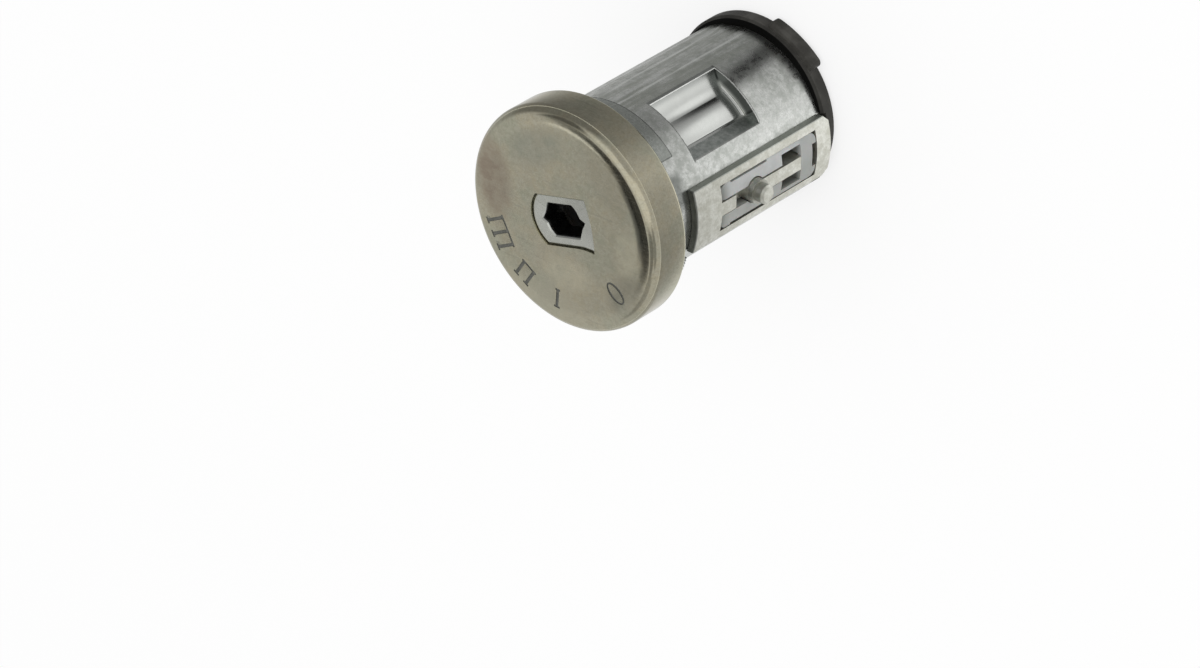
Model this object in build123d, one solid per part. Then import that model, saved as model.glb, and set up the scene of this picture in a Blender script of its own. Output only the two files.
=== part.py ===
"""Ignition lock cylinder with a fixed keyhole nose and a rotor of turning disc tumblers.

The lock stands on its rear closure. +Z runs up the lock axis to the marked face,
the origin is on the axis at the rear face, and +X points out through the side rail
and its latch pin. Azimuths are measured anticlockwise from +X, seen from the face.
All sizes are in millimetres and degrees.
"""
import os
from math import cos, radians, sin

from build123d import *

# Overall
lock_length = 45.0           # rear face to marked face
body_radius = 14.5           # cast housing barrel
barrel_wall = 4.44           # barrel between the rotor bore and its surface
running_gap = 0.06           # radial play of the rotor in its bore
seat_gap = 0.05              # play between pieces that sit still in each other
overshoot = 1.0              # how far a cut or a root runs past the surface it crosses

# Pressed and crimped face cap
cap_overhang = 3.5           # cap side beyond the housing barrel
cap_sheet = 0.8
cap_side = 6.9               # height of the cap's side
cap_edge_radius = 1.7
cap_roll_radius = 12.0       # soft roll of the face before its edge
cap_roll_angle = 8.0
cap_lip_gap = 0.5            # crimped lip to housing barrel
cap_lip_corner = 0.5         # radius where the skirt turns in

# Housing
front_wall = 3.2
nose_recess = 0.3            # nose face below the cap face
nose_gap = 0.15              # cap aperture round the nose
nose_edge = 0.25
keyhole_bevel = 0.2
nose_azimuth = 14.6          # long axis of the keyhole
land_height = 0.3            # raised land behind the cap
land_depth = 11.9            # its rear edge, from the marked face
land_span = (42.0, 150.0)
parting_azimuths = (101.0, 281.0)
parting_depth = 0.15         # flats ground along the casting's parting lines
flank_azimuth = -47.0        # flat behind the rail's lower edge
flank_depth = 0.65
crimp_lug_height = 2.1       # serrated lug that stops the cap from turning
crimp_lug_span = (-42.0, -14.0)
crimp_lug_depth = 2.2
crimp_teeth = 14
crimp_tooth_depth = 0.3
assembly_pocket_azimuth = 54.0
assembly_pocket_wall = 2.09      # barrel left between its floor and the rotor bore
assembly_pocket_depths = (15.7, 30.4)    # front and rear wall, from the marked face
assembly_pocket_floor_span = (-11.4, 22.2)
assembly_pocket_corner = 0.5     # radius round the floor
assembly_pocket_rim = 0.15       # radius round the mouth
assembly_pocket_mouth_sides = (-10.5, 6.7)   # where its sides end, beyond the surface
assembly_pocket_mouth = 2.0

# Rotor, disc tumblers and side bar
rotor_end_gap = 0.1
rotor_edge = 0.4
rotor_wall = 1.7                 # outside the discs' stop lugs
shank_hole_radius = 3.6
disc_thickness = 2.2
disc_side_gap = 0.03
disc_travel = 60.0
disc_codes = (30.0, 60.0, 15.0, 45.0, 60.0, 30.0)
disc_lug_width = 12.0
disc_lug_height = 0.8
disc_lug_gap = 0.5               # degrees left at each end of the lug's travel
disc_wall_gap = 0.1
spacer_key_gap = 0.2             # degrees left at each end of a spacer's key
spacer_thickness = 0.5
guide_plate_thickness = 2.8
gate_width = 1.7
gate_depth = 1.1
side_bar_azimuth = 150.0
side_bar_width = 1.5
side_bar_height = 2.05
side_bar_bevel = 0.45            # bevels of its nose
side_bar_lift = 0.35             # bar's foot above the disc rims
side_bar_play = 0.1              # slot beside the bar and beyond its ends
side_bar_groove = 0.95           # depth of the housing groove it locks into
side_bar_groove_end = 0.5        # groove beyond each end of the bar
side_bar_start = 0.3             # bar's rear end above the coupling's flange
side_bar_end = 3.0               # bar beyond the disc chamber, over its front spring
bar_spring_radius = 0.55
bar_spring_wire = 0.22
bar_spring_turns = 3
bar_spring_length = 2.55
spring_wire_sides = 5            # flats that stand for the round wire of every coil

# Drive coupling, clip and turning stop
key_positions = (0.0, 55.0, 83.5, 111.6)     # marks 0, I, II and III
flange_thickness = 2.0
stop_lug_azimuth = 300.0
stop_lug_width = 18.0
stop_lug_height = 0.9
stop_gap = 0.5                   # degrees beyond the first and last mark
stop_clearance = 0.1             # stop lug to the bottom of its groove
hub_radius = 6.0
hub_edge = 0.5
hub_gap = 0.3                    # rear closure's hole round the hub
hub_recess = 1.0                 # hub end above the rear face
drive_slot_length = 8.6
drive_slot_width = 4.6
drive_slot_depth = 6.5
dog_width = 14.0
dog_height = 1.2
dog_root = 0.5                   # dog's root inside the flange
dog_step = 0.15                  # dog's sides in from the rotor wall's two faces
dog_play = 0.3                   # degrees left beside a dog
clip_thickness = 0.75
clip_cover = 0.65                # how far the clip reaches in behind the flange
clip_groove_depth = 0.55
clip_span = (-44.0, 172.0)
clip_end_gap = 1.0               # degrees of groove beyond the clip's ends

# Rear closure
closure_depth = 2.7
closure_step = 0.1               # closure's seat below the housing barrel
closure_rim_radius = 14.3        # round rim set off towards the lug
closure_rim_offset = 1.9
closure_rim_azimuth = 72.0
closure_edge = 0.4
closure_lug_overhang = 2.8
closure_lug_span = (44.0, 78.0)
closure_lug_depth = 2.2
closure_lug_corner = 0.8
spigot_length = 3.4
snap_azimuths = (60.0, 130.0)
snap_width = 24.0
snap_window_gap = 1.0            # degrees of window beyond a snap's ends
snap_height = 0.5
snap_thickness = 1.0
snap_front = 2.5                 # front of the snaps above the closure's seat

# Side rail
rail_thickness = 1.1
rail_side_wall = 1.3             # rail beside its window
rail_front_depth = 12.0          # front end, from the marked face
rail_front_pad = 5.8
rail_rear_pad = 3.2
rail_sink = 0.7                  # rear end let into the closure's rim
rail_corner = 1.0
rail_edge = 0.2
window_half_width = 3.8
stub_length = 3.2                # tongue over the latch's foot
stub_half_width = 1.1
rail_hook_half_width = 2.4
rail_hook_thickness = 1.0
rail_hook_reach = 1.5
rail_hook_root = 0.5             # hook's root inside the plate

# Latch pin, its arm and its spring
latch_pin_depth = 25.5           # pin axis, from the marked face
latch_proud = 2.4                # pin tip beyond the rail's face
latch_travel = 1.9
latch_base_radius = 1.9
latch_base_proud = 0.8           # shoulder of the pin beyond the rail's face
latch_tip_radius = 1.5
latch_tip_chamfer = 0.35
latch_floor_wall = 1.05          # casting left between rotor bore and latch pocket
latch_foot_play = 0.15           # left under the foot when the pin is pressed in
latch_foot_thickness = 0.85
latch_foot_length = 6.0          # foot in front of the pin axis, under the rail's stub
arm_half_width = 1.1
arm_sink = 0.0                   # arm below the rail's face
latch_spring_radius = 0.95
latch_spring_wire = 0.3
latch_spring_turns = 5
latch_spring_bore = 1.3
latch_spring_cover = 0.5         # spring's end below the shoulder of the pin
latch_spring_gap = 0.1           # left between the spring's end and its bore

# Acetal cradle
cradle_gap = 0.1
cradle_sink = 0.1                # tray below the rail's face
cradle_play = 0.2                # slot beside the latch
cradle_lobe_radius = 1.3
cradle_front_edge = 0.8          # rounding of the lobes' front ends
crossbar_length = 3.5
crossbar_thickness = 0.7
crossbar_waist = (1.9, 0.9)      # half width and depth of the notch behind it
side_opening_length = 4.4
side_opening_reach = 3.0
relief_slit = 0.35
relief_slit_length = 8.3
relief_slit_depth = 2.25         # below the tray's top
relief_slit_rear = 3.0           # its rear end behind the pin axis

# Levels along the axis
bore_radius = body_radius - barrel_wall
rotor_radius = bore_radius - running_gap
lug_groove_radius = rotor_radius - rotor_wall
disc_radius = lug_groove_radius - disc_wall_gap - disc_lug_height
cap_radius = body_radius + cap_overhang
cap_inner_radius = cap_radius - cap_sheet
flange_radius = cap_inner_radius - nose_gap
lip_radius = body_radius + cap_lip_gap
cap_rear = lock_length - cap_side
casting_front = lock_length - cap_sheet
bore_front = casting_front - front_wall
spigot_front = closure_depth + spigot_length
clip_rear = spigot_front + seat_gap
clip_front = clip_rear + clip_thickness
flange_rear = clip_front + seat_gap
rotor_rear = flange_rear + flange_thickness
rotor_front = bore_front - rotor_end_gap
disc_pitch = disc_thickness + spacer_thickness + 2 * disc_side_gap
chamber_rear = rotor_rear + guide_plate_thickness
chamber_front = chamber_rear + len(disc_codes) * disc_pitch - spacer_thickness
chamber_radius = disc_radius + disc_wall_gap
lug_groove_azimuth = side_bar_azimuth + 180
lug_groove_half = (disc_travel + disc_lug_width) / 2 + disc_lug_gap
side_bar_foot = disc_radius + side_bar_lift
side_bar_top = side_bar_foot + side_bar_height
side_bar_rear = rotor_rear + side_bar_start
side_bar_front = chamber_front + side_bar_end
bar_spring_seat = side_bar_foot - bar_spring_length
front_bar_spring_level = chamber_front + side_bar_end / 2
rear_bar_spring_level = rotor_rear + guide_plate_thickness / 2
window_front = lock_length - rail_front_depth - rail_front_pad
rail_rear = closure_depth - rail_sink
window_rear = rail_rear + rail_rear_pad
rail_radius = body_radius + rail_thickness
rail_half_width = window_half_width + rail_side_wall
rail_front = lock_length - rail_front_depth
crimp_lug_radius = body_radius + crimp_lug_height
pin_level = lock_length - latch_pin_depth
latch_reach = rail_radius + latch_proud
latch_base_top = rail_radius + latch_base_proud
latch_spring_top = latch_base_top - latch_spring_cover
pocket_floor = bore_radius + latch_floor_wall
foot_level = pocket_floor + latch_travel + latch_foot_play
foot_top = foot_level + latch_foot_thickness
cradle_top = rail_radius - cradle_sink
cradle_half_width = window_half_width - cradle_gap
slot_half_width = arm_half_width + cradle_play
crossbar_rear = window_rear + cradle_gap
crossbar_front = crossbar_rear + crossbar_length
snap_levels = (closure_depth + snap_front - snap_thickness, closure_depth + snap_front)
key_travel = key_positions[-1]


def polar(radius, azimuth):
    """Point at a radius and azimuth."""
    return (radius * cos(radians(azimuth)), radius * sin(radians(azimuth)))


def column(face, low, high):
    """A flat outline carried up the lock axis from one level to another."""
    return Pos(0, 0, low) * extrude(face, high - low, dir=(0, 0, 1))


def ring_sector(inner, outer, start, end):
    """Outline between two radii and two azimuths."""
    middle = (start + end) / 2
    outline = [
        Line(polar(inner, start), polar(outer, start)),
        ThreePointArc(polar(outer, start), polar(outer, middle), polar(outer, end)),
        Line(polar(outer, end), polar(inner, end)),
        ThreePointArc(polar(inner, end), polar(inner, middle), polar(inner, start)),
    ]
    return make_face(outline)


def block(x_range, y_range, z_range):
    """Box between two corners, given as three ranges."""
    size = [high - low for low, high in (x_range, y_range, z_range)]
    centre = [(high + low) / 2 for low, high in (x_range, y_range, z_range)]
    return Pos(*centre) * Box(*size)


def keyhole_outline():
    """Keyhole, the same when turned half round: flats, one bevel and one arc a side, side notches."""
    half = [
        ((-2.2, -2.55), (2.6, -2.55)),
        ((2.6, -2.55), (3.46, -0.9)),
        ((3.46, -0.9), (4.15, 0.0)),
        ((4.15, 0.0), (3.3, 0.6)),
    ]
    edges = [Line(start, end) for start, end in half]
    edges.append(ThreePointArc((3.3, 0.6), (2.91, 1.66), (2.2, 2.55)))
    edges += [Rot(0, 0, 180) * edge for edge in edges]
    return Rot(0, 0, nose_azimuth) * make_face(edges)


def nose_outline():
    """Nose round the keyhole: two near parallel sides, a round end and a pointer corner."""
    edges = [
        Line((-4.2, 3.93), (5.27, 3.85)),
        ThreePointArc((5.27, 3.85), (5.6, 0.6), (5.17, -4.45)),
        ThreePointArc((5.17, -4.45), (3.7, -4.08), (2.2, -3.93)),
        Line((2.2, -3.93), (-4.0, -3.93)),
        ThreePointArc((-4.0, -3.93), (-5.87, 0.4), (-4.2, 3.93)),
    ]
    return Rot(0, 0, nose_azimuth) * make_face(edges)


def face_cap():
    """Stainless cap: a drawn cup with a rounded edge, its skirt crimped in behind the flange."""
    inner_edge = cap_edge_radius - cap_sheet
    lip_top = cap_rear + cap_sheet
    top = lock_length
    under = casting_front
    corner = cap_lip_corner
    knee = cos(radians(45))
    lean = radians(cap_roll_angle)
    roll_end = cap_radius - cap_edge_radius * (1 - sin(lean))
    roll_start = roll_end - cap_roll_radius * sin(lean)
    roll_level = top - cap_roll_radius * (1 - cos(lean))
    edge_level = roll_level - cap_edge_radius * cos(lean)
    profile = [
        Line((0, under), (0, top)),
        Line((0, top), (roll_start, top)),
        TangentArc((roll_start, top), (roll_end, roll_level), tangent=(1, 0)),
        TangentArc((roll_end, roll_level), (cap_radius, edge_level), tangent=(cos(lean), -sin(lean))),
        Line((cap_radius, edge_level), (cap_radius, cap_rear + corner)),
        ThreePointArc(
            (cap_radius, cap_rear + corner),
            (cap_radius - corner * (1 - knee), cap_rear + corner * (1 - knee)),
            (cap_radius - corner, cap_rear),
        ),
        Line((cap_radius - corner, cap_rear), (lip_radius, cap_rear)),
        Line((lip_radius, cap_rear), (lip_radius, lip_top)),
        Line((lip_radius, lip_top), (cap_inner_radius, lip_top)),
        Line((cap_inner_radius, lip_top), (cap_inner_radius, under - inner_edge)),
        Line((cap_inner_radius, under - inner_edge), (cap_inner_radius - inner_edge, under)),
        Line((cap_inner_radius - inner_edge, under), (0, under)),
    ]
    cup = revolve(Plane.XZ * make_face(profile), Axis.Z)
    aperture = offset(nose_outline(), nose_gap)
    return cup - column(aperture, under - overshoot, top + overshoot)


def barrel_flat(azimuth, depth, front):
    """Cut that takes a flat off the barrel's surface, from the rear face up to a level."""
    flat = block(
        (body_radius - depth, body_radius + overshoot),
        (-body_radius, body_radius),
        (-overshoot, front),
    )
    return Rot(0, 0, azimuth) * flat


def crimp_lug():
    """Serrated lug of the casting, just behind the cap."""
    start, end = crimp_lug_span
    front = cap_rear - seat_gap
    rear = front - crimp_lug_depth
    lug = column(ring_sector(body_radius - overshoot, crimp_lug_radius, start, end), rear, front)
    step = (end - start) / crimp_teeth
    for tooth in range(crimp_teeth):
        azimuth = start + (tooth + 0.5) * step
        groove = Rot(0, 0, azimuth) * Pos(crimp_lug_radius, 0) * Rectangle(
            2 * crimp_tooth_depth, crimp_tooth_depth
        )
        lug -= column(groove, rear - overshoot, front + overshoot)
    return lug


def assembly_pocket():
    """Cut with a floor curved like the barrel, a steep side, a sloped side and square ends."""
    front, rear = (lock_length - depth for depth in assembly_pocket_depths)
    floor = bore_radius + assembly_pocket_wall
    mouth = body_radius + assembly_pocket_mouth
    low, high = assembly_pocket_floor_span
    section = [
        ThreePointArc(polar(floor, low), polar(floor, (low + high) / 2), polar(floor, high)),
        Polyline(
            polar(floor, high),
            (mouth, assembly_pocket_mouth_sides[1]),
            (mouth, assembly_pocket_mouth_sides[0]),
            polar(floor, low),
        ),
    ]
    cut = column(make_face(section), rear, front)
    floor_face = cut.faces().filter_by(GeomType.CYLINDER)[0]
    cut = fillet(floor_face.edges(), assembly_pocket_corner)
    return Rot(0, 0, assembly_pocket_azimuth) * cut


def keyhole_nose():
    """Nose with a rounded front edge, pierced by a keyhole with a broken edge."""
    nose = column(nose_outline(), bore_front, lock_length - nose_recess)
    nose = fillet(nose.edges().group_by(Axis.Z)[-1], nose_edge)
    hole = column(keyhole_outline(), bore_front - overshoot, lock_length)
    pierced = nose - hole
    mouth = new_edges(nose, hole, combined=pierced).group_by(Axis.Z)[-1]
    return chamfer(mouth, keyhole_bevel)


def housing():
    """Zinc die casting: barrel, cap flange, keyhole nose, latch pocket and rotor bore."""
    barrel = column(Circle(body_radius), closure_depth, casting_front)
    pocket = assembly_pocket()
    body = barrel - pocket
    body = fillet(new_edges(barrel, pocket, combined=body), assembly_pocket_rim)
    for azimuth in parting_azimuths:
        body -= barrel_flat(azimuth, parting_depth, cap_rear)
    body -= barrel_flat(flank_azimuth, flank_depth, cap_rear)
    land = ring_sector(body_radius - overshoot, body_radius + land_height, *land_span)
    body += column(land, lock_length - land_depth, cap_rear + cap_sheet)
    flange_rear_level = cap_rear + cap_sheet + seat_gap
    flange = column(Circle(flange_radius), flange_rear_level, casting_front)
    flange_edge = flange.edges().group_by(Axis.Z)[-1]
    body += chamfer(flange_edge, cap_edge_radius - cap_sheet)
    body += keyhole_nose()
    body += crimp_lug()

    body -= column(Circle(bore_radius), 0, bore_front)
    body -= column(keyhole_outline(), 0, lock_length)
    body -= block(
        (pocket_floor, body_radius + overshoot),
        (-window_half_width, window_half_width),
        (window_rear, window_front),
    )
    hook_slot = rail_hook_thickness + seat_gap
    body -= block(
        (body_radius - rail_hook_reach - seat_gap, body_radius + overshoot),
        (-rail_hook_half_width - seat_gap, rail_hook_half_width + seat_gap),
        (window_rear - hook_slot, window_front + hook_slot),
    )

    groove = Pos(bore_radius, 0) * Rot(0, 0, 45) * Rectangle(
        side_bar_groove * 2 ** 0.5, side_bar_groove * 2 ** 0.5
    )
    groove_ends = (side_bar_rear - side_bar_groove_end, side_bar_front + side_bar_groove_end)
    body -= Rot(0, 0, side_bar_azimuth) * column(groove, *groove_ends)

    stop_radius = rotor_radius + stop_lug_height + stop_clearance
    half = stop_lug_width / 2 + stop_gap
    stop_groove = ring_sector(
        bore_radius - overshoot,
        stop_radius,
        stop_lug_azimuth - key_travel - half,
        stop_lug_azimuth + half,
    )
    body -= column(stop_groove, 0, rotor_rear + seat_gap)
    clip_groove = ring_sector(
        bore_radius - overshoot,
        bore_radius + clip_groove_depth + seat_gap,
        clip_span[0] - clip_end_gap,
        clip_span[1] + clip_end_gap,
    )
    body -= column(clip_groove, clip_rear - seat_gap, clip_front + seat_gap)
    for azimuth in snap_azimuths:
        half = snap_width / 2 + snap_window_gap
        window = ring_sector(
            bore_radius - overshoot, bore_radius + snap_height + seat_gap, azimuth - half, azimuth + half
        )
        body -= column(window, snap_levels[0] - seat_gap, snap_levels[1] + seat_gap)
    return body


def rear_closure():
    """Black moulded ring with a lug on its offset rim, and a spigot that snaps into the bore."""
    seat = Circle(body_radius - closure_step)
    rim = Pos(*polar(closure_rim_offset, closure_rim_azimuth)) * Circle(closure_rim_radius)
    lug = ring_sector(body_radius - overshoot, body_radius + closure_lug_overhang, *closure_lug_span)
    lug = fillet(lug.vertices().sort_by_distance((0, 0, 0))[-2:], closure_lug_corner)
    ring = Part()
    for outline, front in ((seat, closure_depth), (rim, closure_depth), (lug, closure_lug_depth)):
        layer = column(outline, 0, front)
        ends = layer.edges().group_by(Axis.Z)
        ring += chamfer(ends[0] + ends[-1], closure_edge)
    ring -= barrel_flat(flank_azimuth, flank_depth, closure_depth + overshoot)
    around_seat = Circle(2 * body_radius) - seat
    rail_notch = column(around_seat, rail_rear - seat_gap, closure_depth + overshoot)
    rail_notch &= block(
        (0, 2 * body_radius),
        (-rail_half_width - seat_gap, rail_half_width + seat_gap),
        (0, lock_length),
    )
    ring -= rail_notch
    spigot_radius = bore_radius - seat_gap
    ring += column(Circle(spigot_radius), 0, spigot_front)
    for azimuth in snap_azimuths:
        nub = ring_sector(
            spigot_radius - overshoot,
            bore_radius + snap_height,
            azimuth - snap_width / 2,
            azimuth + snap_width / 2,
        )
        ring += column(nub, *snap_levels)
    return ring - column(Circle(hub_radius + hub_gap), -overshoot, spigot_front + overshoot)


def retaining_clip():
    """Sprung wire ring in the housing groove, behind the coupling's flange."""
    clip = ring_sector(rotor_radius - clip_cover, bore_radius + clip_groove_depth, *clip_span)
    return column(clip, clip_rear, clip_front)


def side_rail():
    """Curved frame plate hooked onto the barrel over the latch, with a window and a front stub."""
    shell = Circle(rail_radius) - Circle(body_radius)
    outward = (0, rail_radius + overshoot)
    plate = column(shell, rail_rear, rail_front)
    plate &= block(outward, (-rail_half_width, rail_half_width), (0, lock_length))
    plate -= block(outward, (-window_half_width, window_half_width), (window_rear, window_front))
    for side in (1, -1):
        corner = Pos(0, side * rail_half_width, rail_rear) * Rot(45, 0, 0) * Box(
            4 * rail_radius, rail_corner * 2 ** 0.5, rail_corner * 2 ** 0.5
        )
        plate -= corner
    outer_face = plate.faces().filter_by(GeomType.CYLINDER).sort_by(SortBy.AREA)[-1]
    plate = fillet(outer_face.edges(), rail_edge)
    stub = column(shell, window_front - stub_length, window_front + overshoot)
    stub &= block(outward, (-stub_half_width, stub_half_width), (0, lock_length))
    plate += stub
    hook = (body_radius - rail_hook_reach, body_radius + rail_hook_root)
    width = (-rail_hook_half_width, rail_hook_half_width)
    plate += block(hook, width, (window_front, window_front + rail_hook_thickness))
    plate += block(hook, width, (window_rear - rail_hook_thickness, window_rear))
    return plate


def latch_cradle():
    """Acetal tray under the rail's window: two front lobes, side openings and a waisted crossbar."""
    tray = block(
        (pocket_floor, cradle_top + overshoot),
        (-cradle_half_width, cradle_half_width),
        (crossbar_rear, window_front - cradle_gap),
    )
    tray = fillet(tray.edges().filter_by(Axis.X), cradle_lobe_radius)
    limit = column(Circle(cradle_top), 0, window_front - cradle_gap)
    tray &= fillet(limit.edges().group_by(Axis.Z)[-1], cradle_front_edge)
    slot = block(
        (0, 2 * body_radius), (-slot_half_width, slot_half_width), (crossbar_front, lock_length)
    )
    tray -= slot
    openings = block(
        (0, 2 * body_radius),
        (-side_opening_reach, side_opening_reach),
        (crossbar_front, crossbar_front + side_opening_length),
    )
    tray -= openings
    pin_hole = Pos(0, 0, pin_level) * Rot(0, 90, 0) * Cylinder(
        latch_base_radius + cradle_play, 2 * body_radius, align=(Align.CENTER, Align.CENTER, Align.MIN)
    )
    tray -= pin_hole
    tray -= block(
        (0, cradle_top - crossbar_thickness),
        (-slot_half_width, slot_half_width),
        (0, crossbar_front + overshoot),
    )
    waist_half, waist_depth = crossbar_waist
    tray -= block((0, 2 * body_radius), (-waist_half, waist_half), (0, crossbar_rear + waist_depth))
    for side in (1, -1):
        edge = side * cradle_half_width
        band = sorted((edge - side * relief_slit, edge + side * overshoot))
        slit_rear = pin_level - relief_slit_rear
        tray -= block(
            (cradle_top - relief_slit_depth, 2 * body_radius),
            band,
            (slit_rear, slit_rear + relief_slit_length),
        )
    return tray


def latch_pin():
    """Pin, arm and foot in one piece, free to slide in towards the rotor."""
    along_x = Pos(0, 0, pin_level) * Rot(0, 90, 0)
    rooted = (Align.CENTER, Align.CENTER, Align.MIN)
    base = Pos(0, 0, foot_level) * Cylinder(latch_base_radius, latch_base_top - foot_level, align=rooted)
    tip = Pos(0, 0, latch_base_top) * Cylinder(latch_tip_radius, latch_reach - latch_base_top, align=rooted)
    tip = chamfer(tip.edges().group_by(Axis.Z)[-1], latch_tip_chamfer)
    pin = along_x * (base + tip)
    width = (-arm_half_width, arm_half_width)
    pin += block((foot_level, foot_top), width, (pin_level, pin_level + latch_foot_length))
    arm_top = rail_radius - arm_sink
    pin += block((foot_level, arm_top), width, (crossbar_front + cradle_play, pin_level))
    hook_rear = crossbar_front - crossbar_length + crossbar_waist[1]
    hook_top = cradle_top - crossbar_thickness - seat_gap
    pin += block((foot_level, hook_top), width, (hook_rear, crossbar_front + overshoot))
    bore_foot = foot_level - overshoot
    spring_bore = Pos(0, 0, bore_foot) * Cylinder(
        latch_spring_bore, latch_spring_top + latch_spring_gap - bore_foot, align=rooted
    )
    return pin - along_x * spring_bore


def coil_spring(radius, wire, length, turns):
    """Open coil along +Z from the origin, its wire ending inside the given length."""
    path = Helix(pitch=(length - wire) / turns, height=length - wire, radius=radius)
    section = Plane(origin=path @ 0, z_dir=path % 0) * RegularPolygon(wire / 2, spring_wire_sides)
    return Pos(0, 0, wire / 2) * sweep(section, path=path, is_frenet=True)


def latch_spring():
    """Coil between the pocket floor and the bottom of the pin's bore."""
    coil = coil_spring(
        latch_spring_radius, latch_spring_wire, latch_spring_top - pocket_floor, latch_spring_turns
    )
    return Pos(pocket_floor, 0, pin_level) * Rot(0, 90, 0) * coil


def at_side_bar(shape, level):
    """Turn a shape that points up +Z to point outwards at the side bar's azimuth."""
    return Rot(0, 0, side_bar_azimuth) * Pos(0, 0, level) * Rot(0, 90, 0) * shape


def bar_spring(level):
    """Small coil that lifts one end of the side bar."""
    coil = coil_spring(bar_spring_radius, bar_spring_wire, bar_spring_length, bar_spring_turns)
    return at_side_bar(Pos(0, 0, bar_spring_seat) * coil, level)


def bar_spring_hole(level):
    """Blind hole that holds one side bar spring."""
    hole = Cylinder(
        bar_spring_radius + bar_spring_wire,
        bar_spring_length,
        align=(Align.CENTER, Align.CENTER, Align.MIN),
    )
    return at_side_bar(Pos(0, 0, bar_spring_seat) * hole, level)


def side_bar_slot(inner, width):
    """Radial slot at the side bar's azimuth, from a radius outwards."""
    return Rot(0, 0, side_bar_azimuth) * Pos(inner + rotor_radius, 0) * Rectangle(2 * rotor_radius, width)


def rotor():
    """Turned carrier: a shank hole in front, the disc chamber behind, slotted for the side bar."""
    body = column(Circle(rotor_radius), rotor_rear, rotor_front)
    body = chamfer(body.edges().group_by(Axis.Z)[-1], rotor_edge)
    body -= column(Circle(shank_hole_radius), rotor_rear, rotor_front)
    body -= column(Circle(chamber_radius), rotor_rear, chamber_front)
    lug_groove = ring_sector(
        chamber_radius - overshoot,
        lug_groove_radius,
        lug_groove_azimuth - lug_groove_half,
        lug_groove_azimuth + lug_groove_half,
    )
    body -= column(lug_groove, rotor_rear, chamber_front)
    body -= column(
        side_bar_slot(disc_radius, side_bar_width + side_bar_play),
        side_bar_rear - side_bar_play,
        side_bar_front + side_bar_play,
    )
    body -= bar_spring_hole(front_bar_spring_level)
    for side in (90, -90):
        azimuth = side_bar_azimuth + side
        half = dog_width / 2 + dog_play
        slot = ring_sector(chamber_radius - overshoot, 2 * rotor_radius, azimuth - half, azimuth + half)
        body -= column(slot, rotor_rear, rotor_rear + dog_height + seat_gap)
    return body


def keyed_plate(thickness, level):
    """Plate that fills the chamber and its lug groove, so it turns with the rotor."""
    half = lug_groove_half - spacer_key_gap
    outline = Circle(chamber_radius - seat_gap)
    outline += ring_sector(
        chamber_radius - overshoot,
        lug_groove_radius - seat_gap,
        lug_groove_azimuth - half,
        lug_groove_azimuth + half,
    )
    outline -= Circle(shank_hole_radius)
    outline -= side_bar_slot(disc_radius - gate_depth, gate_width)
    return column(outline, level, level + thickness)


def rear_guide_plate():
    """Thick plate behind the last disc, drilled for the rear side bar spring."""
    plate = keyed_plate(guide_plate_thickness - seat_gap, rotor_rear)
    return plate - bar_spring_hole(rear_bar_spring_level)


def disc_level(index):
    """Rear face of a disc, counted from the front."""
    return chamber_front - index * disc_pitch - disc_side_gap - disc_thickness


def tumbler_disc(index):
    """Brass disc with a keyway, a stop lug and one gate, set off by its code angle."""
    lug_centre = lug_groove_azimuth + disc_travel / 2
    outline = Circle(disc_radius)
    outline += ring_sector(
        disc_radius - overshoot,
        disc_radius + disc_lug_height,
        lug_centre - disc_lug_width / 2,
        lug_centre + disc_lug_width / 2,
    )
    gate = Rot(0, 0, disc_codes[index]) * side_bar_slot(disc_radius - gate_depth, gate_width)
    outline -= gate
    outline -= keyhole_outline()
    level = disc_level(index)
    return column(outline, level, level + disc_thickness)


def spacer_plate(index):
    """Thin steel plate between two discs."""
    return keyed_plate(spacer_thickness, disc_level(index) - disc_side_gap - spacer_thickness)


def side_bar():
    """Locking bar along the rotor, with a nose that fits the housing's groove."""
    half = side_bar_width / 2
    shoulder = side_bar_top - side_bar_bevel
    nose_half = half - side_bar_bevel
    section = Polyline(
        (side_bar_foot, -half),
        (shoulder, -half),
        (side_bar_top, -nose_half),
        (side_bar_top, nose_half),
        (shoulder, half),
        (side_bar_foot, half),
        close=True,
    )
    return Rot(0, 0, side_bar_azimuth) * column(make_face(section), side_bar_rear, side_bar_front)


def drive_coupling():
    """Steel coupling with a flange, a turning stop, two dogs and a slotted hub for the switch."""
    disc_edge = rotor_radius - seat_gap
    outline = Circle(disc_edge)
    outline += ring_sector(
        disc_edge - overshoot,
        rotor_radius + stop_lug_height,
        stop_lug_azimuth - stop_lug_width / 2,
        stop_lug_azimuth + stop_lug_width / 2,
    )
    body = column(outline, flange_rear, rotor_rear)
    hub = column(Circle(hub_radius), hub_recess, flange_rear + flange_thickness / 2)
    body += chamfer(hub.edges().group_by(Axis.Z)[0], hub_edge)
    for side in (90, -90):
        azimuth = side_bar_azimuth + side
        dog = ring_sector(
            lug_groove_radius + dog_step,
            disc_edge - dog_step,
            azimuth - dog_width / 2,
            azimuth + dog_width / 2,
        )
        body += column(dog, rotor_rear - dog_root, rotor_rear + dog_height)
    slot = SlotOverall(drive_slot_length, drive_slot_width)
    return body - column(slot, 0, hub_recess + drive_slot_depth)


parts = {
    "housing": housing(),
    "face_cap": face_cap(),
    "rear_closure": rear_closure(),
    "retaining_clip": retaining_clip(),
    "side_rail": side_rail(),
    "latch_cradle": latch_cradle(),
    "latch_pin": latch_pin(),
    "latch_spring": latch_spring(),
    "rotor": rotor(),
    "rear_guide_plate": rear_guide_plate(),
    "side_bar": side_bar(),
    "side_bar_spring_front": bar_spring(front_bar_spring_level),
    "side_bar_spring_rear": bar_spring(rear_bar_spring_level),
    "drive_coupling": drive_coupling(),
}
for number in range(len(disc_codes)):
    parts[f"tumbler_disc_{number + 1}"] = tumbler_disc(number)
for number in range(len(disc_codes) - 1):
    parts[f"spacer_plate_{number + 1}"] = spacer_plate(number)

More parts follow.
